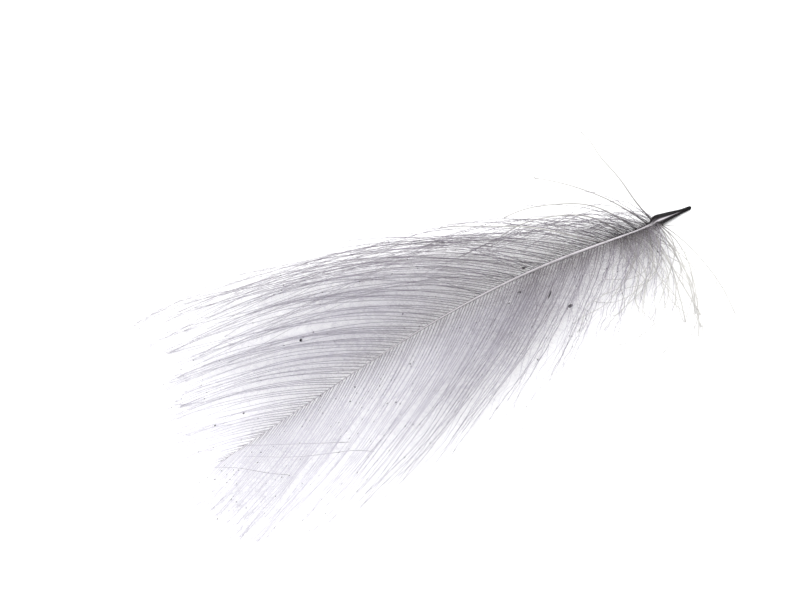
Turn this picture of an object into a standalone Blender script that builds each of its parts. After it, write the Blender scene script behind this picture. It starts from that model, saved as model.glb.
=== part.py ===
"""A cul de canard feather lying on a surface: a short dark quill, a thin curved shaft and two downy vanes.

Metres, +Z up. +X runs along the feather from the tips of the vanes to the end of the quill, +Y towards the
wider vane, and the surface that the feather lies on is Z = 0. The feather grew in one piece, so it is one
object: its barbs are gathered into soft locks that grow from the shaft.
"""

import bpy
import numpy as np

MM = 0.001

# The shaft, measured from the end of the quill. Headings are angles off -X, positive towards +Y.
SHAFT_LENGTH = 46.3 * MM
QUILL_LENGTH = 3.4 * MM
HEADING_AT_QUILL = np.radians(5.2)
HEADING_AT_TIP = np.radians(-5.6)
SHAFT_ARCH = 1.9 * MM
TIP_RISE = 0.5 * MM
ARCH_FORWARD = 0.75
SHAFT_SIDES = 10
SHAFT_RINGS = 30
RINGS_TOWARDS_QUILL = 1.6
# Places along the shaft and its radius there: rounded end, quill, its widest place, the rachis, its tip
RADIUS_AT = np.array([0.0, 0.12, 0.5, 3.2, 4.8, 8.0, 46.3]) * MM
RADII = np.array([0.10, 0.17, 0.24, 0.48, 0.26, 0.21, 0.05]) * MM

# The vanes. Each barb leaves the shaft at one angle and bends to a smaller one at its tip. A place along a
# vane is a share u of its length, 0 at the quill and 1 at the tip of the shaft. Angles are degrees off -X.
LOCKS_A_SIDE = 36
LOCKS_TOWARDS_BASE = 1.6
WIDER_VANE = {
    "side": 1,
    "longest": 34.0 * MM,
    "longest_at": 0.24,
    "base_share": 0.30,
    "rise": 1.5,
    "fall": 0.85,
    "root_angle": 46.0,
    "root_splay": 4.0,
    "tip_angle": 5.0,
    "tip_splay": 24.0,
}
NARROWER_VANE = {
    "side": -1,
    "longest": 24.0 * MM,
    "longest_at": 0.38,
    "base_share": 0.42,
    "rise": 0.8,
    "fall": 1.3,
    "root_angle": 40.0,
    "root_splay": 42.0,
    "tip_angle": 15.0,
    "tip_splay": 52.0,
}
TIP_LENGTH_SHARE = 0.05
ROOT_SPLAY_REACH = 0.07
TIP_SPLAY_REACH = 0.10
ROOT_CLOSING = 2.4
TIP_CLOSING = 4.0
BEND = 1.3
BUNCHES = 9
BUNCH_ANGLE = 2.0
LOFT_AT_BASE = 1.9 * MM
LOFT_SPREAD = 0.45
LOFT_FALL = 1.6
DROOP = 1.7

# A lock is a thin lens, four-sided, as wide as the room between its neighbours lets it be.
LOCK_RINGS = 10
LOCK_FILL = 0.42
LOCK_MOST_HALF_WIDTH = 0.55 * MM
LOCK_LEAST_HALF_WIDTH = 0.07 * MM
LOCK_HALF_HEIGHT = 0.16 * MM
LOCK_ROOT_SHARE = 0.35
LOCK_OPEN_BY = 0.15
LOCK_TAPER_FROM = 0.45
LOCK_TAPER_POWER = 1.5
LOCK_TIP_SHARE = 0.3
# Neighbours differ in length and in loft, by steps that repeat every few locks
RAGGED = 0.12
RAGGED_STEPS = (0, 3, 6, 2, 5, 1, 4)
LOFT_STEPS = (0, 2, 4, 1, 3)

# Loose hairs that stand clear of the vanes: place along the vane, side, length, root and tip angle
STRAY_HALF_WIDTH = 0.09 * MM
STRAYS = (
    (0.005, 1, 11.2 * MM, 76.0, 98.0),
    (0.020, 1, 13.4 * MM, 84.0, 54.0),
)
STRAY_LIFT = 1.3 * MM
STRAY_TIP_SHARE = 0.4

SHARP_EDGE = np.radians(40)
HORN_AND_DOWN = (0.20, 0.19, 0.21, 1.0)


def clear_scene():
    for thing in list(bpy.data.objects):
        bpy.data.objects.remove(thing, do_unlink=True)


def shaft_heading(s):
    return HEADING_AT_QUILL + (HEADING_AT_TIP - HEADING_AT_QUILL) * s / SHAFT_LENGTH


def shaft_radius(s):
    return np.interp(s, RADIUS_AT, RADII)


def shaft_centre(s):
    """A circular arc in plan. The quill lies level, then the shaft arches up and comes down again."""
    turn = (HEADING_AT_TIP - HEADING_AT_QUILL) / SHAFT_LENGTH
    heading = shaft_heading(s)
    x = -(np.sin(heading) - np.sin(HEADING_AT_QUILL)) / turn
    y = -(np.cos(heading) - np.cos(HEADING_AT_QUILL)) / turn
    along = np.clip((s - QUILL_LENGTH) / (SHAFT_LENGTH - QUILL_LENGTH), 0, 1)
    arch = SHAFT_ARCH * np.sin(np.pi * along**ARCH_FORWARD) ** 2 + TIP_RISE * along**2
    level = shaft_radius(s) * np.cos(np.pi / SHAFT_SIDES)
    return np.stack([x, y, level + arch], axis=-1)


def barb_length(vane, u):
    """Short at the base, longest a quarter to a third of the way up, then falling evenly to the tip."""
    peak = vane["longest_at"]
    rising = np.sin(0.5 * np.pi * np.clip(u / peak, 0, 1) ** vane["rise"])
    rising = vane["base_share"] + (1 - vane["base_share"]) * rising
    falling = 1 - (1 - TIP_LENGTH_SHARE) * np.clip((u - peak) / (1 - peak), 0, 1) ** vane["fall"]
    return vane["longest"] * rising * falling


def barb_angles(vane, u):
    """Angles at a barb's root and tip. Both open towards the quill, and the tips draw into bunches."""
    root = vane["root_angle"] * (1 - u**ROOT_CLOSING) + vane["root_splay"] * np.exp(-u / ROOT_SPLAY_REACH)
    tip = vane["tip_angle"] * (1 - u**TIP_CLOSING) + vane["tip_splay"] * np.exp(-u / TIP_SPLAY_REACH)
    bunch = BUNCH_ANGLE * np.sin(2 * np.pi * BUNCHES * u ** (1 / LOCKS_TOWARDS_BASE))
    return root, tip + bunch


def barb_path(side, u, length, root_angle, tip_angle, loft, count):
    """Points along one barb: it turns from its root angle to its tip angle and sinks to the surface."""
    t = np.linspace(0, 1, count)
    root = shaft_centre(QUILL_LENGTH + u * (SHAFT_LENGTH - QUILL_LENGTH))
    angle = side * np.radians(tip_angle + (root_angle - tip_angle) * (1 - t) ** BEND)
    step = length / (count - 1)
    x = root[0] - step * np.concatenate([[0], np.cumsum(np.cos(angle[:-1]))])
    y = root[1] + step * np.concatenate([[0], np.cumsum(np.sin(angle[:-1]))])
    z = root[2] * (1 - t**DROOP) + loft * np.sin(np.pi * t)
    return np.stack([x, y, z], axis=-1)


def vane_path(vane, u, ragged, lift):
    root_angle, tip_angle = barb_angles(vane, u)
    loft = LOFT_AT_BASE * (1 - u) ** LOFT_FALL * lift
    length = barb_length(vane, u) * (1 - ragged)
    return barb_path(vane["side"], u, length, root_angle, tip_angle, loft, LOCK_RINGS)


def level_normals(path):
    """Unit vectors in plan, square to the path."""
    along = np.gradient(path[:, :2], axis=0)
    along = along / np.linalg.norm(along, axis=1, keepdims=True)
    return np.stack([-along[:, 1], along[:, 0], np.zeros(len(path))], axis=-1)


def mesh_object(name, points, faces):
    """A new object, shaded smooth but for edges sharper than SHARP_EDGE."""
    mesh = bpy.data.meshes.new(name)
    mesh.from_pydata(points.tolist(), [], faces)
    mesh.validate()
    mesh.shade_smooth()
    mesh.set_sharp_from_angle(angle=SHARP_EDGE)
    made = bpy.data.objects.new(name, mesh)
    bpy.context.scene.collection.objects.link(made)
    return made


def tube_faces(rings, sides):
    """Quads between rings of points, with a face over the first ring and another over the last."""
    faces = [
        (r * sides + k, r * sides + (k + 1) % sides, (r + 1) * sides + (k + 1) % sides, (r + 1) * sides + k)
        for r in range(rings - 1)
        for k in range(sides)
    ]
    last = (rings - 1) * sides
    return faces + [tuple(range(sides))[::-1], tuple(range(last, last + sides))]


def make_shaft():
    """Rings close together over the rounded end and the quill, further apart along the rachis."""
    spread = np.linspace(0, 1, SHAFT_RINGS) ** RINGS_TOWARDS_QUILL * SHAFT_LENGTH
    s = np.unique(np.concatenate([spread, RADIUS_AT]))
    centre = shaft_centre(s)
    side = level_normals(centre)
    # A flat side is turned down, so that the quill has a level facet to rest on
    turn = 2 * np.pi * (np.arange(SHAFT_SIDES) + 0.5) / SHAFT_SIDES - 0.5 * np.pi
    radius = shaft_radius(s)[:, None, None]
    up = np.array([0.0, 0.0, 1.0])
    ring = np.cos(turn)[None, :, None] * side[:, None, :] + np.sin(turn)[None, :, None] * up
    points = centre[:, None, :] + radius * ring
    return mesh_object("feather", points.reshape(-1, 3), tube_faces(len(s), SHAFT_SIDES))


def make_lock(name, path, half_width, half_height):
    """A four-sided lens around the path, its lower edge never under the surface."""
    normal = level_normals(path)
    rise = np.array([0.0, 0.0, 1.0]) * half_height[:, None]
    centre = path + rise
    out = normal * half_width[:, None]
    ring = [centre - out, centre - rise, centre + out, centre + rise]
    points = np.stack(ring, axis=1).reshape(-1, 3)
    return mesh_object(name, points, tube_faces(len(path), 4))


def lock_section(room):
    """Half width and half height along a lock: narrow at the shaft, then full, then drawn to a fine tip."""
    t = np.linspace(0, 1, LOCK_RINGS)
    opening = LOCK_ROOT_SHARE + (1 - LOCK_ROOT_SHARE) * np.clip(t / LOCK_OPEN_BY, 0, 1)
    taper = 1 - np.clip((t - LOCK_TAPER_FROM) / (1 - LOCK_TAPER_FROM), 0, 1) ** LOCK_TAPER_POWER
    full_width = np.clip(LOCK_FILL * room, LOCK_LEAST_HALF_WIDTH, LOCK_MOST_HALF_WIDTH)
    width = np.maximum(full_width * opening * taper, LOCK_TIP_SHARE * LOCK_LEAST_HALF_WIDTH)
    height = LOCK_HALF_HEIGHT * np.maximum(opening * taper, LOCK_TIP_SHARE)
    return width, height


def make_vane(vane, first):
    """The locks of one side. Each has the room between the paths half way to its neighbours."""
    locks = []
    for k in range(LOCKS_A_SIDE):
        shares = (np.array([k, k + 0.5, k + 1]) + first) / (LOCKS_A_SIDE + 1)
        before, u, after = shares**LOCKS_TOWARDS_BASE
        ragged = RAGGED * RAGGED_STEPS[k % len(RAGGED_STEPS)] / max(RAGGED_STEPS)
        lift = 1 + LOFT_SPREAD * (2 * LOFT_STEPS[k % len(LOFT_STEPS)] / max(LOFT_STEPS) - 1)
        path = vane_path(vane, u, ragged, lift)
        across = vane_path(vane, after, ragged, lift) - vane_path(vane, before, ragged, lift)
        room = np.abs(np.sum(across * level_normals(path), axis=1))
        width, height = lock_section(room)
        locks.append(make_lock(f"lock_{vane['side']}_{k}", path, width, height))
    return locks


def make_strays():
    locks = []
    for k, (u, side, length, root_angle, tip_angle) in enumerate(STRAYS):
        path = barb_path(side, u, length, root_angle, tip_angle, STRAY_LIFT, LOCK_RINGS)
        half_width = STRAY_HALF_WIDTH * np.linspace(1, STRAY_TIP_SHARE, LOCK_RINGS)
        locks.append(make_lock(f"stray_{k}", path, half_width, half_width))
    return locks


def join(body, pieces):
    """One closed solid of the shaft and everything that grows from it."""
    group = bpy.data.collections.new("grown_from_shaft")
    bpy.context.scene.collection.children.link(group)
    for piece in pieces:
        bpy.context.scene.collection.objects.unlink(piece)
        group.objects.link(piece)
        piece.hide_render = True
        piece.display_type = "WIRE"
    union = body.modifiers.new("union", "BOOLEAN")
    union.operation = "UNION"
    union.solver = "EXACT"
    union.operand_type = "COLLECTION"
    union.collection = group


def centre_on_box(body, pieces):
    """Moves everything so that the origin is at the middle of the bottom of the whole feather's box."""
    corners = [np.array([v.co for v in thing.data.vertices]) for thing in [body, *pieces]]
    low = np.min([c.min(axis=0) for c in corners], axis=0)
    high = np.max([c.max(axis=0) for c in corners], axis=0)
    shift = -np.array([(low[0] + high[0]) / 2, (low[1] + high[1]) / 2, low[2]])
    for thing, points in zip([body, *pieces], corners):
        thing.data.vertices.foreach_set("co", (points + shift).ravel())
        thing.data.update()


def colour(body):
    material = bpy.data.materials.new("feather")
    material.use_nodes = True
    keratin = material.node_tree.nodes["Principled BSDF"]
    keratin.inputs["Base Color"].default_value = HORN_AND_DOWN
    keratin.inputs["Roughness"].default_value = 0.6
    keratin.inputs["Metallic"].default_value = 0.0
    body.data.materials.append(material)


clear_scene()
feather = make_shaft()
grown = make_vane(WIDER_VANE, 0.0) + make_vane(NARROWER_VANE, 0.5) + make_strays()
centre_on_box(feather, grown)
colour(feather)
join(feather, grown)
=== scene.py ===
# %% [markdown]
# # A cul de canard feather
#
# These small feathers grow round a duck's oil gland. One is a short dark quill, a thin shaft and two vanes of
# very fine, loose barbs, and each barb carries hundreds of barbules too thin to be seen one by one. Together
# they give the grey haze that makes the feather look soft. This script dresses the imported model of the
# feather: its locks become real barbs, its shaft gets its horn, and the haze is made of real barbules.

import bpy
import numpy as np
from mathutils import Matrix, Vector


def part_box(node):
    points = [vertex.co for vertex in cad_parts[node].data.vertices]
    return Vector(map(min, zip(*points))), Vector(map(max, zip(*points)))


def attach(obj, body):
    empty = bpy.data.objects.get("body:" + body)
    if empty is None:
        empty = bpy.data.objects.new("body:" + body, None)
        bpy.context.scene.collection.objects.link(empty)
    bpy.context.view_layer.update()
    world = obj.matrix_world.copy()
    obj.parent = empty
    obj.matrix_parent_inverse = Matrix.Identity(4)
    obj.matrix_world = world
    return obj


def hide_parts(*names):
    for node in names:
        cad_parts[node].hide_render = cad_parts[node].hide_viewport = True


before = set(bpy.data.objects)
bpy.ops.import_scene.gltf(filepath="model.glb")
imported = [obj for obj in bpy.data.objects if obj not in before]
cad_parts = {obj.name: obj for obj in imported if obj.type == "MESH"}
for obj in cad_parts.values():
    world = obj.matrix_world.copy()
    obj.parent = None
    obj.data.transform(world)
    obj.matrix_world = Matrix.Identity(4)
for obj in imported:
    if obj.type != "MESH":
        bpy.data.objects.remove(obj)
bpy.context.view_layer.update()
low, high = np.array(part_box("feather"))
MM = 0.001
print("feather", ((high - low) / MM).round(1), "mm")

# %% [markdown]
# ## Colours and nodes
#
# Colours are given as sRGB hex values, as a painter's chart gives them, and Blender's shaders want
# linear ones, so one function turns them. A second small function adds a node with its settings and its
# links, which keeps each material short enough to read in one go.


# %% Two helpers for every material
def linear(hex_colour):
    """sRGB to linear: a straight line near black, a power of 2.4 above it."""
    srgb = np.array([int(hex_colour[k : k + 2], 16) for k in (1, 3, 5)]) / 255
    return (*np.where(srgb <= 0.04045, srgb / 12.92, ((srgb + 0.055) / 1.055) ** 2.4), 1.0)


def node(tree, kind, links=None, **settings):
    """A new node with its sockets set or linked, and its properties set. Sockets are named by their place."""
    made = tree.nodes.new(kind)
    for name, value in settings.items():
        setattr(made, name, value)
    for socket, value in (links or {}).items():
        if isinstance(value, bpy.types.NodeSocket):
            tree.links.new(value, made.inputs[socket])
        else:
            made.inputs[socket].default_value = value
    return made


print("mid grey", np.round(linear("#808080"), 3))

# %% [markdown]
# ## The line of the shaft
#
# Everything on a feather hangs from its shaft, so the shaft's line comes first. In plan it is part of a
# circle: its heading turns evenly from the quill to the tip. Seen from the side the quill lies level, then
# the shaft arches up off the surface and comes down again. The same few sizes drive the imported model, and
# the end of the quill is found from that model's box, so both lie in one place.

# %% The shaft's sizes and centre line
SHAFT_LENGTH = 46.3 * MM
QUILL_LENGTH = 3.4 * MM
HEADING_AT_QUILL = np.radians(5.2)
HEADING_AT_TIP = np.radians(-5.6)
SHAFT_ARCH = 1.9 * MM
TIP_RISE = 0.5 * MM
ARCH_FORWARD = 0.75
QUILL_ASIDE = 2.13 * MM
QUILL_END = np.array([high[0], 0.5 * (low[1] + high[1]) - QUILL_ASIDE])
RADIUS_AT = np.array([0.0, 0.12, 0.9, 1.4, 2.2, 3.25, 3.5, 3.9, 5.2, 12.0, 22.0, 34.0, 46.3]) * MM
RADII = np.array([0.12, 0.15, 0.18, 0.24, 0.34, 0.46, 0.43, 0.20, 0.14, 0.15, 0.10, 0.038, 0.015]) * MM
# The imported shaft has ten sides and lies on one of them, so its centre is a little under a radius up.
LEVEL = np.cos(np.pi / 10)


def shaft_centre(s):
    """Plan: the integral of a heading that turns evenly. Height: the radius, and an arch of sine squared."""
    turn = (HEADING_AT_TIP - HEADING_AT_QUILL) / SHAFT_LENGTH
    heading = HEADING_AT_QUILL + turn * s
    x = QUILL_END[0] - (np.sin(heading) - np.sin(HEADING_AT_QUILL)) / turn
    y = QUILL_END[1] - (np.cos(heading) - np.cos(HEADING_AT_QUILL)) / turn
    along = np.clip((s - QUILL_LENGTH) / (SHAFT_LENGTH - QUILL_LENGTH), 0, 1)
    arch = SHAFT_ARCH * np.sin(np.pi * along**ARCH_FORWARD) ** 2 + TIP_RISE * along**2
    return np.stack([x, y, np.interp(s, RADIUS_AT, RADII) * LEVEL + arch], axis=-1)


print("shaft from", (shaft_centre(0.0) / MM).round(1), "to", (shaft_centre(SHAFT_LENGTH) / MM).round(1))

# %% [markdown]
# ## The field of barbs
#
# A vane could be drawn barb by barb, but a bird grows it by a rule: each barb leaves the shaft at one angle
# and bends to a smaller one, and both change smoothly from the quill to the tip. With that rule as a
# function, a thousand barbs cost no more work than one. The two vanes differ only in the sizes below. The
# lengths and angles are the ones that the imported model's locks follow.
#
# Two shares are used all through: u says where on the shaft a barb stands, from 0 at the quill to 1 at the
# tip, and t where a point stands on its barb, from 0 at the root to 1 at the end.

# %% The sizes of both vanes
# Angles are in degrees. A splay is added by the quill and fades, an opening comes in towards the tip. The
# haze is a share of the barbules, and paler is added to the tone of the barbs.
WIDER_VANE = {
    "side": 1, "tangle": 0.65, "crinkled_to": 0.06,
    "longest": 34.0 * MM, "longest_at": 0.24, "base_share": 0.30, "rise": 1.5, "fall": 0.85,
    "root_angle": 44.0, "root_splay": 4.0, "closing": 0.60,
    "tip_angle": 3.0, "tip_splay": 24.0, "tip_opening": 20.0,
    "haze": 1.15, "haze_at_tip": 0.48, "haze_falls_from": 0.48, "haze_held_back": 0.46,
    "haze_lost_out": 0.74, "haze_out_from": 0.25, "haze_to_the_ends": 0.3,
    "paler": 0.0, "paler_up": 0.14,
}
NARROWER_VANE = {
    "side": -1, "tangle": 0.18, "crinkled_to": 0.20,
    "longest": 24.0 * MM, "longest_at": 0.38, "base_share": 0.38, "rise": 0.8, "fall": 1.35,
    "root_angle": 42.0, "root_splay": 30.0, "closing": 0.30,
    "tip_angle": 7.0, "tip_splay": 44.0, "tip_opening": 12.0,
    "haze": 1.12, "haze_at_tip": 0.55, "haze_falls_from": 0.28, "haze_held_back": 0.0,
    "haze_lost_out": 0.92, "haze_out_from": 0.10, "haze_to_the_ends": 0.9,
    "paler": 0.12, "paler_up": 0.24,
}
print("longest barbs", round(WIDER_VANE["longest"] / MM), "and", round(NARROWER_VANE["longest"] / MM), "mm")

# %% The rule for both vanes
ROOT_SPLAY_FADES = 0.07
TIP_SPLAY_FADES = 0.10
SHUTTING = 9
BUNCHES = 9
BUNCH_ANGLE = 0.9
TOWARDS_BASE = 1.6
TURNING = 1.3
SINKING = 1.7


def barb_length(vane, u):
    """A quarter of a sine up to the longest barb, then a power falling to a twentieth of it at the tip."""
    peak = vane["longest_at"]
    rising = np.sin(0.5 * np.pi * np.clip(u / peak, 0, 1) ** vane["rise"])
    falling = 1 - 0.95 * np.clip((u - peak) / (1 - peak), 0, 1) ** vane["fall"]
    return vane["longest"] * (vane["base_share"] + (1 - vane["base_share"]) * rising) * falling


def barb_angles(vane, u):
    """Degrees off -X at root and tip: a level that closes with the square of u and shuts with a high power of
    it, a splay that fades, and at the tip a slow sine that opens the vane into bunches."""
    closing = 1 - vane["closing"] * u**2 - (1 - vane["closing"]) * u**SHUTTING
    root = vane["root_angle"] * closing + vane["root_splay"] * np.exp(-u / ROOT_SPLAY_FADES)
    opening = vane["tip_opening"] * u * (1 - u**SHUTTING)
    tip = vane["tip_angle"] + opening + vane["tip_splay"] * np.exp(-u / TIP_SPLAY_FADES)
    return root, tip + BUNCH_ANGLE * vane["tangle"] * np.sin(2 * np.pi * BUNCHES * u ** (1 / TOWARDS_BASE))


def barb_paths(side, u, length, root_angle, tip_angle, loft, count):
    """(n, count, 3) points. The heading turns with a power of what is left of the barb, its running sum gives
    the plan, and the height is the root's, sinking with a power of t, and half a sine of loft."""
    t = np.linspace(0, 1, count)
    column = [np.atleast_1d(a)[:, None] for a in (u, length, root_angle, tip_angle, loft)]
    u, length, root_angle, tip_angle, loft = column
    root = shaft_centre(QUILL_LENGTH + u * (SHAFT_LENGTH - QUILL_LENGTH))
    angle = side * np.radians(tip_angle + (root_angle - tip_angle) * (1 - t) ** TURNING)
    step = length / (count - 1)
    run = np.cumsum(np.stack([-np.cos(angle), np.sin(angle)], axis=-1)[:, :-1] * step[..., None], axis=1)
    plan = root[..., :2] + np.concatenate([np.zeros((len(u), 1, 2)), run], axis=1)
    height = root[..., 2] * (1 - t**SINKING) + loft * np.sin(np.pi * t)
    return np.concatenate([plan, height[..., None]], axis=-1)


print("barbs half way up leave at", np.round(barb_angles(WIDER_VANE, 0.5)[0], 1), "degrees")

# %% [markdown]
# ## Meshes from arrays
#
# A barb is a tube carried along a path. One barb at a time would be slow, so the tube function takes all
# the paths of a vane in one array and gives back all their rings in another. Each tube is closed at both
# ends. Each point keeps one number for its material, which says how pale it is, and its place on the UV map.


# %% One mesh piece out of arrays
def piece(name, points, faces, uv, **values):
    """A mesh of points and of arrays of faces, one corner count an array, with a float for each point."""
    mesh = bpy.data.meshes.new(name)
    corners = np.concatenate([f.ravel() for f in faces])
    sizes = np.concatenate([np.full(len(f), f.shape[1]) for f in faces])
    mesh.vertices.add(len(points))
    mesh.vertices.foreach_set("co", points.ravel())
    mesh.loops.add(len(corners))
    mesh.loops.foreach_set("vertex_index", corners)
    mesh.polygons.add(len(sizes))
    mesh.polygons.foreach_set("loop_start", np.concatenate([[0], np.cumsum(sizes)[:-1]]))
    mesh.polygons.foreach_set("use_smooth", np.ones(len(sizes), bool))
    for key, value in values.items():
        mesh.attributes.new(key, "FLOAT", "POINT").data.foreach_set("value", np.ravel(value))
    mesh.uv_layers.new(name="OFBake").uv.foreach_set("vector", uv[corners].ravel())
    mesh.update(calc_edges=True)
    made = bpy.data.objects.new(name, mesh)
    bpy.context.scene.collection.objects.link(made)
    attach(made, "root")
    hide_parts("feather")
    print(name, len(points), "points,", int((sizes - 2).sum()), "triangles")
    return made


# %% Tubes about many paths at once
def unit(vectors):
    """Each vector over its length, which is never taken as nought."""
    return vectors / np.maximum(np.linalg.norm(vectors, axis=-1, keepdims=True), 1e-12)


def frames(paths):
    """Unit vectors along each path, level and square to it, and square to both."""
    along = unit(np.gradient(paths, axis=-2))
    level = unit(np.stack([-along[..., 1], along[..., 0], np.zeros(along.shape[:-1])], axis=-1))
    return along, level, np.cross(along, level)


def tubes(paths, radii, sides):
    """Points: path + radius (cos a, sin a) in the square frame. Faces: quads between rings and two end caps.
    The UV map gives each tube a strip of its own, its length along u and its girth across v."""
    n, count = paths.shape[:2]
    _, level, top = frames(paths)
    turn = 2 * np.pi * np.arange(sides) / sides
    ring = np.cos(turn)[:, None] * level[:, :, None] + np.sin(turn)[:, None] * top[:, :, None]
    points = paths[:, :, None] + radii[:, :, None, None] * ring
    index = np.arange(n * count * sides).reshape(n, count, sides)
    here, there = index[:, :-1], index[:, 1:]
    quads = np.stack([here, np.roll(here, -1, 2), np.roll(there, -1, 2), there], axis=-1).reshape(-1, 4)
    caps = np.concatenate([index[:, 0, ::-1], index[:, -1]])
    strip = (np.arange(n)[:, None, None] + 0.1 + 0.8 * np.arange(sides) / (sides - 1)) / n
    along = 0.01 + 0.98 * np.linspace(0, 1, count)[:, None]
    uv = np.stack(np.broadcast_arrays(along, strip), axis=-1)
    return points.reshape(-1, 3), [quads, caps], uv.reshape(-1, 2)


# %% [markdown]
# ## Quill and shaft
#
# The bare quill is horn: near black, smooth and nearly dull. A pale groove runs up its top from a point,
# widens, and becomes the pale, proud shaft between the vanes. Along its first half only the top of the
# shaft is pale, and its sides and underside stay dark as painted shade. Past the middle the shaft is no
# thicker than a hair and hardly darker than its barbs. Quill, groove and shaft could be three pieces, but
# one tube has no joins to hide. Its radius comes from the same profile as the imported shaft's, smoothed,
# its end is rounded off as a quarter of an ellipse, and the groove is sunk into its top. A value on each
# point says how pale the horn is there.

# %% The radius along the shaft
SHAFT_SHOWN = 44.2 * MM
SHAFT_RINGS = 400
RINGS_BY_THE_QUILL = 1.9
SHAFT_SIDES = 48
ROUND_END = 0.16 * MM
SMALLEST_END = 0.02
SMOOTHED_OVER = (-0.1, -0.05, 0, 0.05, 0.1)


def smooth_step(value, start, end):
    """Nought before start, one after end, and 3 t^2 - 2 t^3 between them."""
    t = np.clip((value - start) / (end - start), 0, 1)
    return t * t * (3 - 2 * t)


s = SHAFT_SHOWN * np.linspace(0, 1, SHAFT_RINGS) ** RINGS_BY_THE_QUILL
profile = np.mean([np.interp(s + d * MM, RADIUS_AT, RADII) for d in SMOOTHED_OVER], axis=0)
profile *= np.sqrt(1 - np.clip(1 - s / ROUND_END, 0, 1) ** 2) * (1 - SMALLEST_END) + SMALLEST_END
print("quill is", round(2 * profile.max() / MM, 2), "mm thick at its widest")

# %% The groove on the top of the quill, facing the narrower side
GROOVE_FROM, GROOVE_FULL = 0.8 * MM, 1.6 * MM
GROOVE_TO, GROOVE_GONE = 3.6 * MM, 4.2 * MM
GROOVE_DEPTH = 0.05 * MM
GROOVE_TURN = np.radians(52)
GROOVE_HALF_ANGLE = np.radians(15)

turn = 2 * np.pi * np.arange(SHAFT_SIDES) / SHAFT_SIDES
from_groove = np.abs(np.angle(np.exp(1j * (turn - GROOVE_TURN))))
groove_width = GROOVE_HALF_ANGLE * smooth_step(s, GROOVE_FROM, GROOVE_TO) + 1e-6
groove_here = smooth_step(s, GROOVE_FROM, GROOVE_FULL) * (1 - smooth_step(s, GROOVE_TO, GROOVE_GONE))
in_groove = np.exp(-((from_groove[None, :] / groove_width[:, None]) ** 2))
sunk = GROOVE_DEPTH * groove_here[:, None] * in_groove
print("groove is", round(sunk.max() / MM, 3), "mm deep")

# %% How pale the horn is, with painted shade on the sides and underside of the shaft
PALE_FROM, PALE_TO = 3.3 * MM, 3.9 * MM
DULLER_FROM, DULLER_TO, DULLER_BY = 5 * MM, 14 * MM, 0.24
PALE_HALF_ANGLE, PALE_WIDENS_BY = 38, 37
THIN_FROM, THIN_TO, THIN_PALE = 18 * MM, 30 * MM, 0.74
FAINT_FROM, FAINT_TO, FAINT_PALE = 34 * MM, 42 * MM, 0.2

duller = smooth_step(s, DULLER_FROM, DULLER_TO)
pale_shaft = smooth_step(s, PALE_FROM, PALE_TO) * (1 - DULLER_BY * duller)
pale_half = np.radians(PALE_HALF_ANGLE + PALE_WIDENS_BY * duller)[:, None]
# The pale top is the groove's real colour; the dark sides and underside of the shaft are painted shade.
pale_top_painted_shade_sides = 1 - smooth_step(from_groove[None, :], 0.5 * pale_half, 1.4 * pale_half)
pale_tip = THIN_PALE * smooth_step(s, THIN_FROM, THIN_TO) + FAINT_PALE * smooth_step(s, FAINT_FROM, FAINT_TO)
pale = np.maximum(groove_here[:, None] * in_groove, pale_shaft[:, None] * pale_top_painted_shade_sides)
pale = np.maximum(pale, pale_tip[:, None])
print("horn is pale from", round(PALE_FROM / MM, 1), "mm on")

# %% The small scar where the groove ends: a dark ring round a pale spot
SCAR_AT = 3.45 * MM
SCAR_TURN = np.radians(30)
SCAR_SPOT = (0.03 * MM, 0.07 * MM)
SCAR_RING = (0.09 * MM, 0.15 * MM)
SCAR_PALE = 0.6

round_to_scar = profile[:, None] * np.angle(np.exp(1j * (turn - SCAR_TURN)))[None, :]
from_scar = np.hypot(s[:, None] - SCAR_AT, round_to_scar)
pale *= smooth_step(from_scar, *SCAR_RING)
pale += SCAR_PALE * (1 - smooth_step(from_scar, *SCAR_SPOT))
print("scar", round(SCAR_AT / MM, 2), "mm up the quill")

# %% The quill and shaft as one surface of two parameters
LOWEST = 0.002 * MM

centre = shaft_centre(s)
_, level, top = frames(centre[None])
ring = np.cos(turn)[:, None] * level[0][:, None] + np.sin(turn)[:, None] * top[0][:, None]
shaft_points = centre[:, None] + (profile[:, None] - sunk)[..., None] * ring
shaft_points[..., 2] = np.maximum(shaft_points[..., 2], LOWEST)
_, shaft_faces, shaft_uv = tubes(centre[None], profile[None], SHAFT_SIDES)
shaft = piece("quill_and_shaft", shaft_points.reshape(-1, 3), shaft_faces, shaft_uv, pale=pale)

# %% [markdown]
# The horn is keratin, the stuff of nails and hooves: index of refraction about 1.55 and, here, worn nearly
# dull, so its highlights are broad and faint and the quill stays black beside the white surface. An image
# could colour it, but the value on each point needs none. It takes the colour from near black to a pale
# bone grey, with fine streaks along the shaft a twentieth of a millimetre apart, as grown horn has.

# %% Keratin horn, grown and worn to a satin
STREAK_APART = 0.05 * MM
STREAK_STRETCH = (0.12, 1.0, 1.0)
STREAK_CONTRAST = 0.16
STREAK_RELIEF = 0.004 * MM


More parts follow.
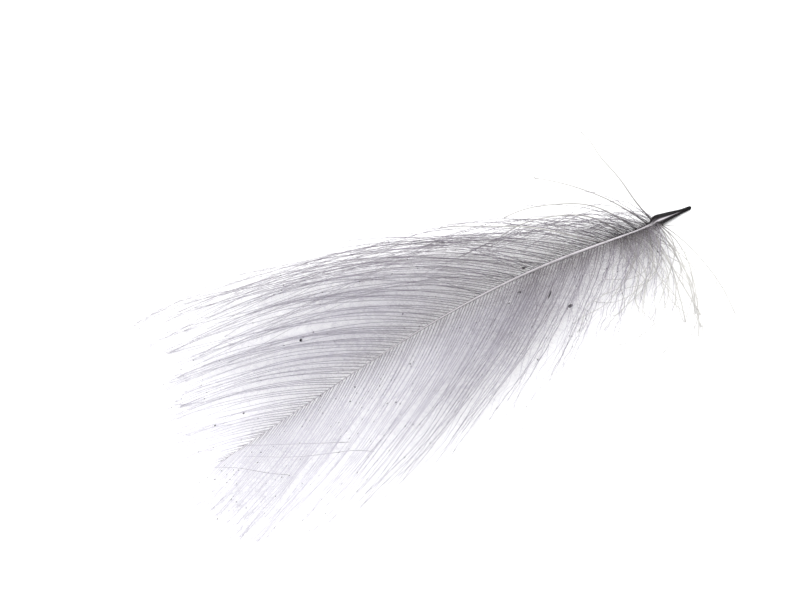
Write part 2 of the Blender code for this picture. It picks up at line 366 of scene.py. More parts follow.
def horn_material():
    """Tone: the point's paleness and a little of the streaks. The same streaks give a faint relief."""
    made = bpy.data.materials.new("keratin_horn_satin")
    made.use_nodes = True
    tree = made.node_tree
    shader = tree.nodes["Principled BSDF"]
    place = node(tree, "ShaderNodeTexCoord").outputs["Object"]
    stretched = node(tree, "ShaderNodeMapping", {0: place, 3: STREAK_STRETCH}).outputs[0]
    streaks = node(tree, "ShaderNodeTexNoise", {0: stretched, 2: 1 / STREAK_APART, 3: 3.0}).outputs[0]
    paleness = node(tree, "ShaderNodeAttribute", attribute_name="pale").outputs["Fac"]
    about_nought = {0: streaks, 1: STREAK_CONTRAST, 2: -0.5 * STREAK_CONTRAST}
    wander = node(tree, "ShaderNodeMath", about_nought, operation="MULTIPLY_ADD").outputs[0]
    mixed = node(tree, "ShaderNodeMath", {0: paleness, 1: wander}, operation="ADD", use_clamp=True).outputs[0]
    ramp = node(tree, "ShaderNodeValToRGB", {0: mixed})
    ramp.color_ramp.elements[0].color = linear("#0c0a0c")
    ramp.color_ramp.elements[1].color = linear("#dbd7dc")
    middle = ramp.color_ramp.elements.new(0.45)
    middle.color = linear("#5c585c")
    tree.links.new(ramp.outputs[0], shader.inputs["Base Color"])
    bump = node(tree, "ShaderNodeBump", {0: 0.25, 1: STREAK_RELIEF, 3: streaks}).outputs[0]
    tree.links.new(bump, shader.inputs["Normal"])
    shader.inputs["Roughness"].default_value = 0.62
    shader.inputs["Specular IOR Level"].default_value = 0.10
    shader.inputs["IOR"].default_value = 1.55
    return made


shaft.data.materials.append(horn_material())
print("horn", shaft.data.materials[0].name)

# %% [markdown]
# ## Barbs
#
# There are two or three barbs to the millimetre. They follow the rule, but a handled feather is never tidy:
# neighbours stick together in bunches and part from the next bunch, some ride higher than others, a few
# cross, and each wavers a little. So every barb gets small seeded differences, and its outer part is drawn
# towards the path of its bunch's middle barb. The wider vane is the more tangled one. A barb is dark and
# about 0.06 mm thick at its root, and half of that and paler at its tip. The first barbs above the quill are
# soft and crinkled.

# %% The barbs of a vane, with their bunches and their differences
BARBS_A_SIDE = 124
LAST_BARB = 0.95
BARB_POINTS = 44
LOOSE_TO = 0.10
SPACING_STRAY = 0.14
CLOSER_BELOW = 1.2
BUNCH_CHANCE, LOOSE_BUNCH_CHANCE = 0.30, 0.5
BUNCH_LIFTS, OWN_LIFT = (0.45, 1.38), 0.10
USUAL_LIFT, LIFTS_WITHIN = 0.92, (0.35, 1.42)
LONGEST_SHARE, SHORTEST_SHARE = 1.03, 0.4
SHORTER_BY, LOOSE_SHORTER_BY = 0.09, 0.30
ROOT_STRAY, LOOSE_ROOT_STRAY = 2.4, 8.0
TIP_STRAY, LOOSE_TIP_STRAY = 2.6, 9.0
CROSSING_SHARE, CROSSING_STRAY = 0.28, 9.0
BUNCH_STRAY = 2.0
LOFT_AT_BASE, LOFT_FALLS = 1.9 * MM, 1.6
PULLED_UP_TO = 0.3
WAVER, WAVER_MORE, WAVERS = 0.003, 0.008, (1, 2.6)
CRINKLE, CRINKLE_EVERYWHERE, CRINKLES_A_MM = 0.11 * MM, 0.12, (0.35, 0.7)
SWAY, SWAYS = 0.034, (0.3, 0.9)
t = np.linspace(0, 1, BARB_POINTS)[None, :]


def vane_barbs(vane, seed):
    """The rule's paths with seeded differences, mixed with the bunch's path by a share that grows with t. The
    differences are several times larger by the quill, where the barbs are soft, short and crinkled. The last
    of them are sines to the side: one slow, one as fine as a crinkle, and one that sways the outer part."""
    random = np.random.default_rng(seed)
    count = BARBS_A_SIDE
    share = (np.arange(count) + 0.5 + random.normal(0, SPACING_STRAY, count)) / count
    u = LAST_BARB * np.clip(share, 0, 1) ** CLOSER_BELOW
    loose = np.exp(-u / LOOSE_TO)
    bunch = np.cumsum(random.random(count) < BUNCH_CHANCE + LOOSE_BUNCH_CHANCE * loose)
    bunches = bunch.max() + 1
    middle = np.bincount(bunch, u)[bunch] / np.bincount(bunch)[bunch]
    lift = random.uniform(*BUNCH_LIFTS, bunches)[bunch] + random.normal(0, OWN_LIFT, count)
    lift = np.clip(USUAL_LIFT + (0.3 + 0.4 * vane["tangle"]) * (lift - USUAL_LIFT), *LIFTS_WITHIN)
    shorter = np.abs(random.normal(0, SHORTER_BY + LOOSE_SHORTER_BY * loose))
    length_share = np.clip(LONGEST_SHARE - shorter, SHORTEST_SHARE, LONGEST_SHARE)

    def paths_at(places, root_stray, tip_stray):
        """The rule's paths for barbs that stand at u but turn and rise as a barb at places does."""
        root, tip = barb_angles(vane, places)
        loft = LOFT_AT_BASE * (1 - places) ** LOFT_FALLS * lift
        length = barb_length(vane, places) * length_share
        return barb_paths(vane["side"], u, length, root + root_stray, tip + tip_stray, loft, BARB_POINTS)

    crosses = random.random(count) < CROSSING_SHARE
    tip_spread = vane["tangle"] * np.where(crosses, CROSSING_STRAY, TIP_STRAY) + LOOSE_TIP_STRAY * loose
    crossing = random.normal(0, tip_spread)
    own = paths_at(u, random.normal(0, ROOT_STRAY * vane["tangle"] + LOOSE_ROOT_STRAY * loose), crossing)
    drawn = paths_at(middle, 0 * u, random.normal(0, BUNCH_STRAY * vane["tangle"], bunches)[bunch])
    pull = vane["tangle"] * (random.uniform(0.0, PULLED_UP_TO, count) * (1 - 0.9 * u))[:, None] * t**1.3
    paths = own + pull[..., None] * (drawn - own)

    size = barb_length(vane, u)[:, None]
    crinkle = np.exp(-((u / vane["crinkled_to"]) ** 2))[:, None]
    turns = random.uniform(*WAVERS, count)[:, None] * t
    slow = np.sin(2 * np.pi * (turns + random.random(count)[:, None]))
    turns = random.uniform(*CRINKLES_A_MM, count)[:, None] * size * t / MM
    fine = np.sin(2 * np.pi * (turns + random.random(count)[:, None]))
    turns = random.uniform(*SWAYS, count)[:, None] * t
    sway = np.sin(2 * np.pi * (turns + random.random(count)[:, None]))
    aside = (WAVER + WAVER_MORE * random.random(count)[:, None]) * size * t * slow
    aside += CRINKLE * random.random(count)[:, None] * (CRINKLE_EVERYWHERE + crinkle) * np.sqrt(t) * fine
    aside += SWAY * vane["tangle"] * size * random.normal(0, 1, count)[:, None] * t**1.5 * sway
    return u, paths + aside[..., None] * frames(paths)[1]


wide_u, wide_paths = vane_barbs(WIDER_VANE, 11)
narrow_u, narrow_paths = vane_barbs(NARROWER_VANE, 12)
print("barbs stand", round((SHAFT_LENGTH - QUILL_LENGTH) * LAST_BARB / BARBS_A_SIDE / MM, 2), "mm apart")

# %% A mesh piece of barbs
BARB_ROOT_RADIUS = 0.032 * MM
BARB_TIP_RADIUS = 0.013 * MM
BARB_SIDES = 4
ROOT_SHARE, THICKER_BY, THICKER_TO = 0.64, 0.44, 0.15
SOFTER_TO = 0.08
PALE_PAST_ROOT, LESS_HIGHER_UP = 0.22, 0.12
PALER_OUTWARDS = 0.22
PALER_UPWARDS, UPWARDS_POWER = 0.62, 0.7
DARK_ROOT, DARK_ROOT_TO = 0.5, 0.22
EDGE_MARGIN = 0.5 * MM
PRESSED_BACK = 0.8


def hold_within(paths, radius):
    """No point lower than the surface that the feather lies on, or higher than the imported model. What reaches
    further aside than the edge is pressed back to a fifth of that. The array itself changes, so barbules and
    dirt start from where the barbs really lie."""
    edge = high[1] - EDGE_MARGIN
    beyond = np.maximum(np.abs(paths[..., 1]) - edge, 0)
    paths[..., 1] -= PRESSED_BACK * np.sign(paths[..., 1]) * beyond
    paths[..., 2] = np.clip(paths[..., 2], radius, high[2] - radius)


def barb_piece(name, u, paths, thickness=1.0, paler=0.0, softer=0.06, pale_by=0.12):
    """Radius: the tip's and a share of the root's that falls almost evenly, thicker by the quill. Tone: dark
    at the root, paler past the share pale_by of the barb, and paler again with t and with u. The first barbs
    are paler by softer."""
    along = np.linspace(0, 1, paths.shape[1])[None, :]
    base = np.exp(-u[:, None] / THICKER_TO)
    fall = (BARB_ROOT_RADIUS - BARB_TIP_RADIUS) * (1 - along) ** 0.8 * (ROOT_SHARE + THICKER_BY * base)
    radii = thickness * (BARB_TIP_RADIUS + fall)
    usual = PALE_PAST_ROOT - LESS_HIGHER_UP * smooth_step(u[:, None], 0.1, 0.4)
    past_root = (1 - np.exp(-along / pale_by)) * (usual + paler + softer * np.exp(-u[:, None] / SOFTER_TO))
    up_the_shaft = PALER_UPWARDS * (1 - DARK_ROOT * np.exp(-along / DARK_ROOT_TO))
    up_the_shaft = up_the_shaft * u[:, None] ** UPWARDS_POWER
    tone = np.clip(past_root + PALER_OUTWARDS * along + up_the_shaft, 0, 1)
    hold_within(paths, radii.max())
    points, faces, uv = tubes(paths, radii, BARB_SIDES)
    return piece(name, points, faces, uv, tone=np.repeat(tone.ravel(), BARB_SIDES))


# %% The two vanes
def paler_by(vane, u):
    """What a vane's barbs are paler by: a share of its own, one that comes in from a fifth to half way up,
    and one for the faint barbs of the very tip."""
    return vane["paler"] + vane["paler_up"] * smooth_step(u, 0.2, 0.5) + 0.3 * smooth_step(u, 0.7, 0.95)


wide_paler = paler_by(WIDER_VANE, wide_u[:, None])
narrow_paler = paler_by(NARROWER_VANE, narrow_u[:, None])
barbs = [
    barb_piece("wider_vane_barbs", wide_u, wide_paths, 1.0 + 0.1 * t, wide_paler),
    barb_piece("narrower_vane_barbs", narrow_u, narrow_paths, 0.92 - 0.1 * t, narrow_paler, softer=0.22),
]

# %% [markdown]
# ## Stray barbs and down
#
# Barbs by the quill have come loose. Five stand out over the wider vane and six hang below the quill. They
# follow the same rule with angles of their own, so each is one row of a table: where it leaves the shaft,
# its vane, its length and its two angles. Behind them comes what is too fine to place one by one, so its
# sizes are drawn by chance between limits: a tuft of thin, pale down curled by handling, a fringe of short
# barbs round the end of the shaft, barbs that wander over the wider vane, and down that hangs from the
# lower part of the narrower one.

# %% Stray barbs
STRAYS = np.array([
    # u, side, length in mm, angle at the root, angle at the tip, loft in mm
    (0.005, 1, 11.2, 80, 106, 1.3),
    (0.014, 1, 10.4, 61, 62, 1.3),
    (0.040, 1, 11.0, 62, 24, 1.5),
    (0.070, 1, 10.1, 60, 14, 1.4),
    (0.118, 1, 13.2, 30, 52, 1.9),
    (0.004, -1, 9.2, 88, 62, 0.8),
    (0.002, -1, 10.6, 104, 78, 0.7),
    (0.003, -1, 11.5, 96, 50, 0.9),
    (0.012, -1, 10.5, 90, 64, 0.8),
    (0.020, -1, 9.3, 74, 84, 1.0),
    (0.035, -1, 9.5, 94, 60, 0.6),
])


def waved(paths, random, amount, turns):
    """A sine to the side and a cosine up and down, both growing with the square root of t."""
    n = len(paths)
    phase = 2 * np.pi * (random.uniform(*turns, n)[:, None] * t + random.random(n)[:, None])
    _, level, top = frames(paths)
    size = (amount * random.uniform(0.5, 1.3, n)[:, None] * np.sqrt(t))[..., None]
    return paths + size * (np.sin(phase)[..., None] * level + 0.4 * np.cos(phase)[..., None] * top)


random = np.random.default_rng(31)
stray_u, side, length, root_angle, tip_angle, loft = STRAYS.T
stray_paths = barb_paths(side[:, None], stray_u, length * MM, root_angle, tip_angle, loft * MM, BARB_POINTS)
stray_paths = waved(stray_paths, random, 0.10 * MM, (1.0, 2.2))
outer = (side > 0)[:, None]
thickness = np.where(outer, 1.9 + 2.1 * t, 1.4 + 1.8 * t)
paler = np.where(outer, 0.55, 0.85)
strays = barb_piece("stray_barbs", stray_u, stray_paths, thickness, paler, softer=0.0, pale_by=0.25)

# %% The tuft of down by the quill
TUFT = 30
tuft_u = random.uniform(0.0, 0.09, TUFT)
length = random.uniform(6.0, 14.0, TUFT) * MM
root_angle = random.uniform(65, 125, TUFT)
tip_angle = random.uniform(-40, 100, TUFT)
loft = random.uniform(0.2, 1.6, TUFT) * MM
tuft_paths = barb_paths(-1, tuft_u, length, root_angle, tip_angle, loft, BARB_POINTS)
tuft_paths = waved(tuft_paths, random, 0.40 * MM, (1.0, 2.6))
tuft = barb_piece("tuft_of_down", tuft_u, tuft_paths, 0.9 + 0.9 * t, 0.80, softer=0.0, pale_by=0.40)

# %% The fringe of short barbs, every third one on the narrower side
FRINGE = 38
fringe_u = 0.10 * random.random(FRINGE) ** 1.3
fringe_side = np.where(np.arange(FRINGE) % 3 == 0, -1, 1)[:, None]
length = random.uniform(2.5, 7.5, FRINGE) * MM
root_angle = random.uniform(45, 80, FRINGE)
tip_angle = random.uniform(8, 50, FRINGE)
loft = random.uniform(0.2, 1.0, FRINGE) * MM
fringe_paths = barb_paths(fringe_side, fringe_u, length, root_angle, tip_angle, loft, BARB_POINTS)
fringe_paths = waved(fringe_paths, random, 0.10 * MM, (1.5, 4.0))
barbs.append(barb_piece("fringe_by_the_quill", fringe_u, fringe_paths, 0.75, 0.0, softer=0.10))

# %% Barbs that wander over the wider vane
WANDERING = 26
wander_u = random.uniform(0.02, 0.42, WANDERING)
root_angle, tip_angle = barb_angles(WIDER_VANE, wander_u)
length = barb_length(WIDER_VANE, wander_u) * random.uniform(0.60, 0.96, WANDERING)
root_angle = root_angle + random.normal(2, 7, WANDERING)
tip_angle = tip_angle + random.normal(6, 9, WANDERING)
loft = random.uniform(0.8, 2.4, WANDERING) * MM
wander_paths = barb_paths(1, wander_u, length, root_angle, tip_angle, loft, BARB_POINTS)
wander_paths = waved(wander_paths, random, 0.42 * MM, (0.8, 2.2))
barbs.append(barb_piece("wandering_barbs_over_the_wider_vane", wander_u, wander_paths, 0.85, 0.10))

# %% Down under the narrower vane
DOWN = 54
down_u = random.uniform(0.0, 0.30, DOWN)
root_angle, tip_angle = barb_angles(NARROWER_VANE, down_u)
length = barb_length(NARROWER_VANE, down_u) * random.uniform(0.5, 1.12, DOWN)
root_angle = root_angle + random.normal(0, 9, DOWN)
tip_angle = tip_angle + random.normal(4, 16, DOWN)
loft = random.uniform(0.2, 1.5, DOWN) * MM
down_paths = barb_paths(-1, down_u, length, root_angle, tip_angle, loft, BARB_POINTS)
down_paths = waved(down_paths, random, 0.20 * MM, (3.0, 6.0))
barbs.append(barb_piece("down_under_the_narrower_vane", down_u, down_paths, 0.6, 0.36, softer=0.30))

# %% [markdown]
# ## Barbules
#
# A barbule is a few thousandths of a millimetre thick and up to a millimetre long. The barbules of a cul de
# canard feather have no hooks, so they stand loose about their barb and fill the gaps between barbs. They
# could be faked by a see-through sheet, but a sheet has edges and looks the same from every side, so they
# are made for real: each is a closed spike of four triangles, and the hundred thousand of them are a few
# arrays. They are drawn about twice too thick, because a true one is far under a pixel here, and there are
# that many fewer of them, so the haze keeps its weight.


# %% Spikes at many places at once
def spikes(roots, directions, width):
    """Three points round the root, square to the direction, and one at the end: four triangles, closed.
    The UV map gives each spike a square cell of its own."""
    n = len(roots)
    ahead = unit(directions)
    not_ahead = np.array([0.31, 0.17, 0.93])
    aside = unit(np.cross(ahead, not_ahead))
    over = np.cross(ahead, aside)
    turn = 2 * np.pi * np.arange(3) / 3
    foot = np.cos(turn)[:, None] * aside[:, None] + np.sin(turn)[:, None] * over[:, None]
    points = np.concatenate([roots[:, None] + 0.5 * width * foot, (roots + directions)[:, None]], axis=1)
    corners = np.array([[0, 2, 1], [0, 1, 3], [1, 2, 3], [2, 0, 3]])
    faces = (4 * np.arange(n)[:, None, None] + corners).reshape(-1, 3)
    cells = int(np.ceil(np.sqrt(n)))
    cell = np.stack([np.arange(n) % cells, np.arange(n) // cells], axis=-1)
    place = np.array([[0.1, 0.1], [0.9, 0.1], [0.5, 0.4], [0.5, 0.95]])
    return points.reshape(-1, 3), [faces], ((cell[:, None] + place) / cells).reshape(-1, 2)


# %% How thick the haze is
# Each pair is where along the shaft a change starts and where it is over.
HAZE_FALLS_OVER = 0.30
HAZE_HELD_UNTIL = (0.15, 0.45)
HAZE_SPREADS_OUT = (0.44, 0.72)
HAZE_LAST_BARBS, HAZE_LAST_LOST = (0.78, 0.92), 0.85
HAZE_OUT_TO = 0.95
BESIDE_SHAFT_LOST, BESIDE_SHAFT_TO = 0.25, 0.08
HAZE_LOOSE_TO, HAZE_LOOSE_LOST = 0.30, 0.90
HAZE_LOOSE_ROOTS, HAZE_ROOTS_TO = 0.35, 0.10


def haze_density(vane, u, t):
    """Barbules kept, as a share. It runs from the vane's own share at the quill to the one at the tip. Along
    a barb it falls, less so on the upper barbs. It is held back on the lower barbs, a little thinner beside
    the shaft and much thinner on the last short barbs, which lie close together. On the loose barbs by the
    quill hardly any is left but at their roots."""
    to_tip = smooth_step(u, vane["haze_falls_from"], vane["haze_falls_from"] + HAZE_FALLS_OVER)
    lost = vane["haze_lost_out"] * (1 - vane["haze_to_the_ends"] * smooth_step(u, *HAZE_SPREADS_OUT))
    lost *= smooth_step(t, vane["haze_out_from"], HAZE_OUT_TO)
    share = (vane["haze"] + (vane["haze_at_tip"] - vane["haze"]) * to_tip) * (1 - lost)
    share *= 1 - vane["haze_held_back"] * (1 - smooth_step(u, *HAZE_HELD_UNTIL))
    beside_shaft = 1 - BESIDE_SHAFT_LOST * np.exp(-t / BESIDE_SHAFT_TO)
    share *= beside_shaft * (1 - HAZE_LAST_LOST * smooth_step(u, *HAZE_LAST_BARBS))
    loose = np.exp(-u / HAZE_LOOSE_TO)
    at_roots = HAZE_LOOSE_ROOTS * loose * np.exp(-t / HAZE_ROOTS_TO)
    return share * (1 - HAZE_LOOSE_LOST * loose) + at_roots


print("half way up, half way out:", round(float(haze_density(WIDER_VANE, 0.5, 0.5)), 2), "of the barbules")

# %% The barbules of a vane
BARBULE_LENGTH = 0.95 * MM
BARBULE_WIDTH = 0.009 * MM
BARBULES_A_MM = 62.0
BARBULE_ANGLES = (22, 75)
FRIZZ_ANGLE, FRIZZ_REACHES = 80, 1.6
BARBULE_TILT = 0.5
BARBULE_LENGTHS, SHORTER_OUT, LONGER_BELOW, SHORTER_UP = (0.5, 1.25), 0.35, 1.15, 0.45
BARBULE_PALE, BARBULE_PALE_BY = 0.30, 0.12
BARBULE_PALER_OUT, BARBULE_PALER_UP, BARBULE_UNLIKE = 0.15, 0.66, 0.05
BARBULE_LOWEST = 0.01 * MM


def barbule_piece(name, vane, u, paths, seed, first=0.0, last=1.01, share=1.0):
    """Barbules stand 22 to 75 degrees off the barb, on both sides, tilted up or down by chance, and more
    where the barbs are crinkled. They are spread evenly over the length of the barbs and then thinned by the
    density above. Their tone follows the barb's, a little paler."""
    random = np.random.default_rng(seed)
    chosen = np.where((u >= first) & (u < last))[0]
    lengths = np.linalg.norm(np.diff(paths, axis=1), axis=-1).sum(axis=1)
    barb = np.repeat(chosen, (share * lengths[chosen] / MM * BARBULES_A_MM).astype(int))
    place = random.random(len(barb))
    keep = random.random(len(barb)) < haze_density(vane, u[barb], place)
    barb, place = barb[keep], place[keep]
    k = np.minimum((place * (BARB_POINTS - 1)).astype(int), BARB_POINTS - 2)
    within = (place * (BARB_POINTS - 1) - k)[:, None]
    root = paths[barb, k] * (1 - within) + paths[barb, k + 1] * within
    ahead, across, up = (axis[barb, k] for axis in frames(paths))

    n = len(barb)
    frizz = np.exp(-((u[barb] / (FRIZZ_REACHES * vane["crinkled_to"])) ** 2))
    angle = random.uniform(*BARBULE_ANGLES, n) + FRIZZ_ANGLE * frizz * random.random(n)
    angle = np.radians(angle)[:, None]
    tilt = random.normal(0, BARBULE_TILT, n)[:, None]
    way = random.choice([-1.0, 1.0], n)[:, None]
    length = BARBULE_LENGTH * random.uniform(*BARBULE_LENGTHS, n)
    length = length * (1 - SHORTER_OUT * place) * (LONGER_BELOW - SHORTER_UP * u[barb])
    direction = unit(np.cos(angle) * ahead + np.sin(angle) * (way * across + tilt * up)) * length[:, None]
    direction[:, 2] = np.clip(root[:, 2] + direction[:, 2], BARBULE_LOWEST, high[2]) - root[:, 2]

    past_root = (BARBULE_PALE + paler_by(vane, u[barb])) * (1 - np.exp(-place / BARBULE_PALE_BY))
    tone = past_root + BARBULE_PALER_OUT * place + BARBULE_PALER_UP * u[barb] ** UPWARDS_POWER
    tone = np.clip(tone + random.normal(0, BARBULE_UNLIKE, n), 0, 1)
    return piece(name, *spikes(root, direction, BARBULE_WIDTH), tone=np.repeat(tone, 4))


haze = [
    barbule_piece("wider_vane_barbules_base", WIDER_VANE, wide_u, wide_paths, 21, 0.0, 0.16),
    barbule_piece("wider_vane_barbules_lower", WIDER_VANE, wide_u, wide_paths, 22, 0.16, 0.38),
    barbule_piece("wider_vane_barbules_upper", WIDER_VANE, wide_u, wide_paths, 23, 0.38, 1.01),
    barbule_piece("narrower_vane_barbules_base", NARROWER_VANE, narrow_u, narrow_paths, 24, 0.0, 0.24),
    barbule_piece("narrower_vane_barbules_upper", NARROWER_VANE, narrow_u, narrow_paths, 25, 0.24, 1.01),
    barbule_piece("tuft_barbules", NARROWER_VANE, tuft_u, tuft_paths, 26, share=0.10),
    barbule_piece("down_barbules", NARROWER_VANE, down_u, down_paths, 27, share=0.20),
]

# %% [markdown]
# ## Dirt
#
# This feather has been handled, and dark grit clings to its barbs: sixteen grains up to about half a
# millimetre long, one thin flake of a millimetre, and some hundreds of specks between 0.06 and 0.15 mm.
# Painted spots would lie flat on hair-thin barbs and be cut off at their edges, so each is a closed,
# squashed lump of twenty faces. The big ones have a row of a table each. The small ones fall by chance on
# points of the barbs, more of them on the narrower vane and fewer at the barbs' ends. Three loose barbs
# also lie across that vane.

# %% Lumps at many places at once
GRAINS = np.array([
    # x, y, length, width in mm, turn in degrees
    (9.0, -5.8, 0.55, 0.28, 0), (8.25, -4.1, 1.00, 0.15, 36), (8.2, -0.7, 0.42, 0.22, -33),
    (6.5, -2.6, 0.28, 0.22, 40), (5.1, -3.1, 0.19, 0.15, 0), (11.6, -2.8, 0.16, 0.12, 60),
    (-10.0, 3.1, 0.36, 0.28, 60), (-8.5, 8.1, 0.18, 0.15, 0), (-16.8, 0.4, 0.20, 0.16, 30),
    (-19.1, 0.8, 0.20, 0.15, 0), (-4.3, -3.5, 0.20, 0.16, 80), (-2.3, 0.6, 0.18, 0.13, 20),
    (-11.2, -1.6, 0.15, 0.13, 0), (20.2, -2.9, 0.17, 0.13, 45), (-9.8, -3.6, 0.15, 0.12, 0),
    (-7.1, -5.8, 0.16, 0.12, 30), (-7.7, -5.5, 0.15, 0.11, 0),
])
GOLDEN = 0.5 * (1 + np.sqrt(5))


def lumps(centres, sizes, turns, seed):
    """Twelve corners of an icosahedron a lump, each pushed in or out by chance, stretched and turned."""
    random = np.random.default_rng(seed)
    corner = unit(np.array([
        (-1, GOLDEN, 0), (1, GOLDEN, 0), (-1, -GOLDEN, 0), (1, -GOLDEN, 0),
        (0, -1, GOLDEN), (0, 1, GOLDEN), (0, -1, -GOLDEN), (0, 1, -GOLDEN),
        (GOLDEN, 0, -1), (GOLDEN, 0, 1), (-GOLDEN, 0, -1), (-GOLDEN, 0, 1),
    ]))
    face = np.array([
        (0, 11, 5), (0, 5, 1), (0, 1, 7), (0, 7, 10), (0, 10, 11),
        (1, 5, 9), (5, 11, 4), (11, 10, 2), (10, 7, 6), (7, 1, 8),
        (3, 9, 4), (3, 4, 2), (3, 2, 6), (3, 6, 8), (3, 8, 9),
        (4, 9, 5), (2, 4, 11), (6, 2, 10), (8, 6, 7), (9, 8, 1),
    ])
    n = len(centres)
    local = corner * random.uniform(0.7, 1.15, (n, 12, 1)) * 0.5 * sizes[:, None]
    cos, sin = np.cos(turns)[:, None], np.sin(turns)[:, None]
    x = cos * local[..., 0] - sin * local[..., 1]
    y = sin * local[..., 0] + cos * local[..., 1]
    points = centres[:, None] + np.stack([x, y, local[..., 2]], axis=-1)
    faces = (12 * np.arange(n)[:, None, None] + face).reshape(-1, 3)
    uv = (np.arange(n)[:, None, None] + 0.5 + 0.4 * corner[None, :, :2]) / n
    return points.reshape(-1, 3), [faces], uv.reshape(-1, 2)


# %% Where the grains and the specks lie
SPECKS = 520
SPECK_SMALLEST, SPECK_SPREAD = 0.06 * MM, 0.09 * MM
NARROWER_DIRTIER = 2.2
ENDS_CLEANER = 0.8
GRAIN_LIES_ON = 0.5 * MM
FLATTENED = 0.6
LUMP_HALF = 0.6

random = np.random.default_rng(41)
on_barbs = np.concatenate([wide_paths.reshape(-1, 3), narrow_paths.reshape(-1, 3)])
beside = np.linalg.norm(GRAINS[:, None, :2] * MM - on_barbs[None, :, :2], axis=-1)
above = np.array([on_barbs[row < GRAIN_LIES_ON, 2].max(initial=0.0) for row in beside])
grain_centres = np.column_stack([GRAINS[:, :2] * MM, above])
grain_sizes = np.column_stack([GRAINS[:, 2:4], FLATTENED * GRAINS[:, 3]]) * MM

near_root = np.tile(1 - ENDS_CLEANER * t[0] ** 2, BARBS_A_SIDE)
wide_weights = np.repeat(barb_length(WIDER_VANE, wide_u), BARB_POINTS) * near_root
narrow_weights = NARROWER_DIRTIER * np.repeat(barb_length(NARROWER_VANE, narrow_u), BARB_POINTS) * near_root
weights = np.concatenate([wide_weights, narrow_weights])
speck_centres = on_barbs[random.choice(len(on_barbs), SPECKS, p=weights / weights.sum())]
speck_sizes = SPECK_SMALLEST + SPECK_SPREAD * random.random((SPECKS, 3)) ** 2
centres = np.concatenate([grain_centres, speck_centres])
sizes = np.concatenate([grain_sizes, speck_sizes])
turns = np.concatenate([np.radians(GRAINS[:, 4]), random.uniform(0, np.pi, SPECKS)])
centres[:, 2] = np.clip(centres[:, 2], LUMP_HALF * sizes[:, 2], high[2] - LUMP_HALF * sizes[:, 2])
grit = piece("grit", *lumps(centres, sizes, turns, 42))

# %% Three loose barbs across the narrower vane
LOOSE_ACROSS = (
    # start x and y in mm, length in mm, headings off -X in degrees along the barb
    (-11.2, -6.0, 8.4, (27, 35)),
    (-16.6, -5.9, 5.9, (33, 46, 31)),
    (-10.1, -7.8, 9.8, (42, 22, 26, 36, 37)),
)
LOOSE_HEIGHT, LOOSE_ARCH = 0.5 * MM, 0.2 * MM
LOOSE_TONE_AT = 0.35

loose_paths = []
for x, y, length, headings in LOOSE_ACROSS:
    angle = np.radians(np.interp(t[0], np.linspace(0, 1, len(headings)), headings))
    step = np.stack([-np.cos(angle), np.sin(angle)], axis=-1) * length * MM / (BARB_POINTS - 1)
    plan = np.array([x, y]) * MM + np.cumsum(step, axis=0)
    loose_paths.append(np.column_stack([plan, LOOSE_HEIGHT + LOOSE_ARCH * np.sin(np.pi * t[0])]))
loose_u = np.full(len(LOOSE_ACROSS), LOOSE_TONE_AT)
barbs.append(barb_piece("loose_barbs_across", loose_u, np.array(loose_paths), 0.8, 0.10))

# %% [markdown]
# ## The colour of down
#
# Barbs and barbules are the same keratin as the quill, but unwaxed and so thin that they have no shine of
# their own. Light goes between them, so they read from brown black at the base of the feather to a pale
# lilac grey at the tips. See-through shaders could give that, but slowly, and the gaps between the meshes
# already let the surface show. So the colour does it: the number on each point picks it from a run of
# five, and slow noise, a couple of millimetres across, keeps neighbouring barbs from being all alike. The
# barbules have a paler run than the barbs, and the loose down by the quill a warmer one.

# %% Keratin down, unwaxed and matt
CLOUD_ACROSS = 2.2 * MM
CLOUD_CONTRAST = 0.3


def down_material(name, *colours):
    """Tone: the point's own and a little slow noise. The colours stand at even steps of it."""
    made = bpy.data.materials.new(name)
    made.use_nodes = True
    tree = made.node_tree
    shader = tree.nodes["Principled BSDF"]
    place = node(tree, "ShaderNodeTexCoord").outputs["Object"]
    cloud = node(tree, "ShaderNodeTexNoise", {0: place, 2: 1 / CLOUD_ACROSS, 3: 2.0}).outputs[0]
    tone = node(tree, "ShaderNodeAttribute", attribute_name="tone").outputs["Fac"]
    about_nought = {0: cloud, 1: CLOUD_CONTRAST, 2: -0.5 * CLOUD_CONTRAST}
    wander = node(tree, "ShaderNodeMath", about_nought, operation="MULTIPLY_ADD").outputs[0]
    mixed = node(tree, "ShaderNodeMath", {0: tone, 1: wander}, operation="ADD", use_clamp=True).outputs[0]
    ramp = node(tree, "ShaderNodeValToRGB", {0: mixed})
    ramp.color_ramp.elements[0].color = linear(colours[0])
    ramp.color_ramp.elements[1].color = linear(colours[-1])
    for k, colour in enumerate(colours[1:-1], 1):
        ramp.color_ramp.elements.new(k / (len(colours) - 1)).color = linear(colour)
    tree.links.new(ramp.outputs[0], shader.inputs["Base Color"])
    shader.inputs["Roughness"].default_value = 0.6
    shader.inputs["IOR"].default_value = 1.55
    return made


barb_keratin = down_material("keratin_barbs_matt", "#1d1a1c", "#5f5b62", "#857f89", "#a19da8", "#c8c5d0")
barbule_keratin = down_material(
    "keratin_barbules_matt", "#332e30", "#8f888b", "#a8a2a9", "#bab6c2", "#cfccd8"
)
loose_keratin = down_material(
    "keratin_loose_down_matt", "#252221", "#686563", "#979593", "#b4b2b0", "#c6c5c2"
)
for keratin, pieces in ((barb_keratin, barbs), (loose_keratin, [strays, tuft]), (barbule_keratin, haze)):
    for made in pieces:
        made.data.materials.append(keratin)
    print(keratin.name, "on", len(pieces), "pieces")


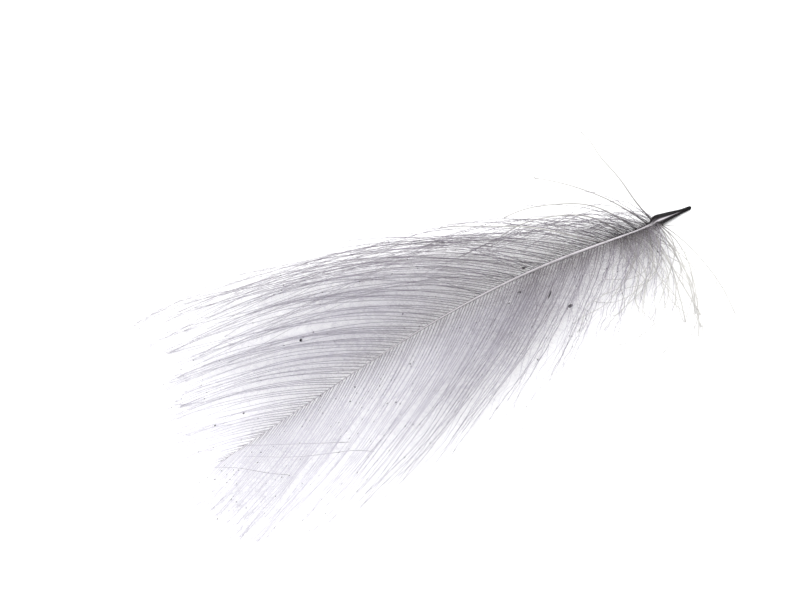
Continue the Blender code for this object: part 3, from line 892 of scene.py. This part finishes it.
# %% Dark grit: dry soil and soot, so dull that it reads as plain dark spots with no highlight
def grit_material():
    """One dark grey all over."""
    made = bpy.data.materials.new("dark_grit_dull")
    made.use_nodes = True
    shader = made.node_tree.nodes["Principled BSDF"]
    shader.inputs["Base Color"].default_value = linear("#1f1c1f")
    shader.inputs["Roughness"].default_value = 0.8
    return made


grit.data.materials.append(grit_material())
print(grit.data.materials[0].name, "on", GRAINS.shape[0], "grains and", SPECKS, "specks")

# %% [markdown]
# ## Studio
#
# The feather lies on a white surface under big soft lights, so bright that the surface comes out pure
# white and the feather's own shadow all but disappears. A single lamp would draw every barb a second time
# as its shadow. The camera is a long lens above the feather, looking down at a slant, turned so that the
# quill points to the upper right.

# %% Floor of matt white card: uncoated, so it scatters light evenly and mirrors nothing
FLOOR_SIDE = 1.6


def floor_material():
    """One white all over."""
    made = bpy.data.materials.new("matt_white_card")
    made.use_nodes = True
    shader = made.node_tree.nodes["Principled BSDF"]
    shader.inputs["Base Color"].default_value = linear("#f4f4f5")
    shader.inputs["Roughness"].default_value = 0.9
    return made


half = FLOOR_SIDE / 2
floor_corners = [(-half, -half, 0), (half, -half, 0), (half, half, 0), (-half, half, 0)]
floor_mesh = bpy.data.meshes.new("floor")
floor_mesh.from_pydata(floor_corners, [], [(0, 1, 2, 3)])
floor = bpy.data.objects.new("floor", floor_mesh)
bpy.context.scene.collection.objects.link(floor)
floor.data.materials.append(floor_material())
print("floor", FLOOR_SIDE, "m square")


# %% Two soft lights and a white room
def soft_light(name, place, side, watts):
    """A square light that faces the middle of the feather."""
    data = bpy.data.lights.new(name, "AREA")
    data.shape = "SQUARE"
    data.size = side
    data.energy = watts
    light = bpy.data.objects.new(name, data)
    bpy.context.scene.collection.objects.link(light)
    light.location = place
    light.rotation_euler = light.location.to_track_quat("Z", "Y").to_euler()


soft_light("overhead", (0.05, 0.10, 0.60), side=0.60, watts=4.0)
soft_light("from_quill_side", (0.50, 0.30, 0.35), side=0.40, watts=2.0)

ROOM_LIGHT = 0.80
world = bpy.data.worlds.new("white_room")
bpy.context.scene.world = world
world.use_nodes = True
world.node_tree.nodes["Background"].inputs["Color"].default_value = (1, 1, 1, 1)
world.node_tree.nodes["Background"].inputs["Strength"].default_value = ROOM_LIGHT
bpy.context.scene.view_settings.view_transform = "Standard"
print("room light", ROOM_LIGHT)

# %% Camera
AZIMUTH = np.radians(-33.2)
ELEVATION = np.radians(55.0)
DISTANCE = 174.8 * MM
AIM = Vector((QUILL_END[0] - 24.70 * MM, QUILL_END[1] + 5.31 * MM, 0))

camera_data = bpy.data.cameras.new("camera")
camera_data.lens = 100
camera_data.sensor_width = 36
camera_data.clip_start = 0.01
camera_data.clip_end = 5
camera = bpy.data.objects.new("camera", camera_data)
bpy.context.scene.collection.objects.link(camera)
level_way = np.array([np.sin(AZIMUTH), -np.cos(AZIMUTH)]) * np.cos(ELEVATION)
back = Vector((*level_way, np.sin(ELEVATION)))
camera.location = AIM + DISTANCE * back
camera.rotation_euler = back.to_track_quat("Z", "Y").to_euler()
bpy.context.scene.camera = camera
print("camera", [round(c / MM, 1) for c in camera.location], "mm")
